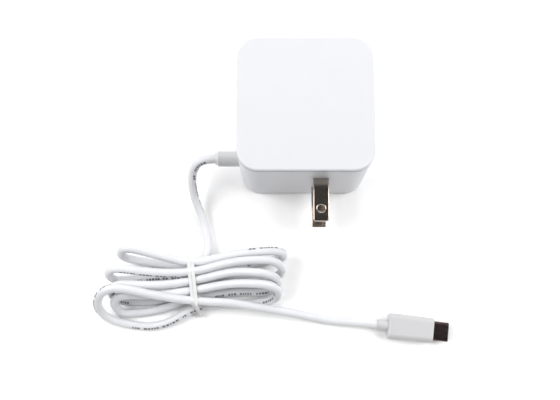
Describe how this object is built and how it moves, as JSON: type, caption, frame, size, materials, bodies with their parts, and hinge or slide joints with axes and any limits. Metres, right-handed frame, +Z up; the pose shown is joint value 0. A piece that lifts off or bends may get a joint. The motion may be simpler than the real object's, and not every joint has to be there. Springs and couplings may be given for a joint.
{
  "type": "wall plug power adapter",
  "caption": "Rounded-square wall-plug power adapter with two flat blades and a captive cord, tied in a hank, that ends in a small flat connector plug.",
  "frame": {"origin": "bottom centre of the housing with its blades, on the surface that the adapter lies on", "axes": "+Z up out of the large face, -Y the way the blades point, +X away from the cord's strain relief"},
  "size_m": [0.1502, 0.1186, 0.035],
  "materials": {
    "housing": "smooth moulded white with a soft gloss",
    "cover": "smooth moulded white with a soft gloss",
    "relief": "white moulded flexible plastic",
    "cord": "white cable jacket, slightly glossy",
    "tie": "white plastic-covered tie wire",
    "overmould": "white moulded plastic",
    "blade": "nickel-plated brass, lightly brushed",
    "plug_metal": "nickel-plated steel",
    "plug_insert": "black moulded plastic",
    "contact": "gold-plated",
    "carrier": "moulded flame-retardant plastic",
    "board": "solder-masked glass-fibre board",
    "liner": "insulating fish paper",
    "fuse_case": "black moulded plastic",
    "black_package": "moulded epoxy",
    "ferrite": "ground ferrite",
    "copper": "enamelled copper wire",
    "capacitor_sleeve": "shrunk plastic sleeve on an aluminium can",
    "can_metal": "bare drawn aluminium",
    "ceramic_blue": "dipped ceramic disc",
    "bobbin": "phenolic moulding",
    "tape": "polyester tape",
    "tin": "tinned wire",
    "heatsink": "stamped sheet",
    "chip": "chip parts",
    "lead_red": "insulated wire",
    "lead_black": "insulated wire",
    "lead_white": "insulated wire"
  },
  "bodies": {
    "root": {"housing_shell": "housing", "housing_cover": "cover", "upper_blade": "blade", "lower_blade": "blade", "blade_carrier": "carrier", "upper_blade_lead": "lead_black", "lower_blade_lead": "lead_white", "main_board": "board", "insulation_liner": "liner", "fuse": "fuse_case", "bridge_rectifier": "black_package", "filter_choke_core": "ferrite", "filter_choke_winding": "copper", "bulk_capacitors": "capacitor_sleeve", "output_capacitors": "can_metal", "switching_controller": "black_package", "y_capacitor": "ceramic_blue", "optocoupler": "black_package", "transformer_core": "ferrite", "transformer_bobbin": "bobbin", "transformer_winding": "copper", "transformer_tape": "tape", "transformer_terminals": "tin", "output_rectifier": "black_package", "output_heatsink": "heatsink", "output_choke": "ferrite", "isolation_barrier": "liner", "chip_components": "chip", "cord_strain_relief": "relief", "positive_output_lead": "lead_red", "ground_output_lead": "lead_black", "cord_to_hank": "cord", "cord_hank": "cord", "cord_to_plug": "cord", "twist_tie": "tie", "plug_overmould": "overmould", "plug_shell": "plug_metal", "plug_insulator": "plug_insert", "plug_contacts": "contact", "plug_board": "board", "plug_leads": "lead_red"}
  },
  "joints": []
}
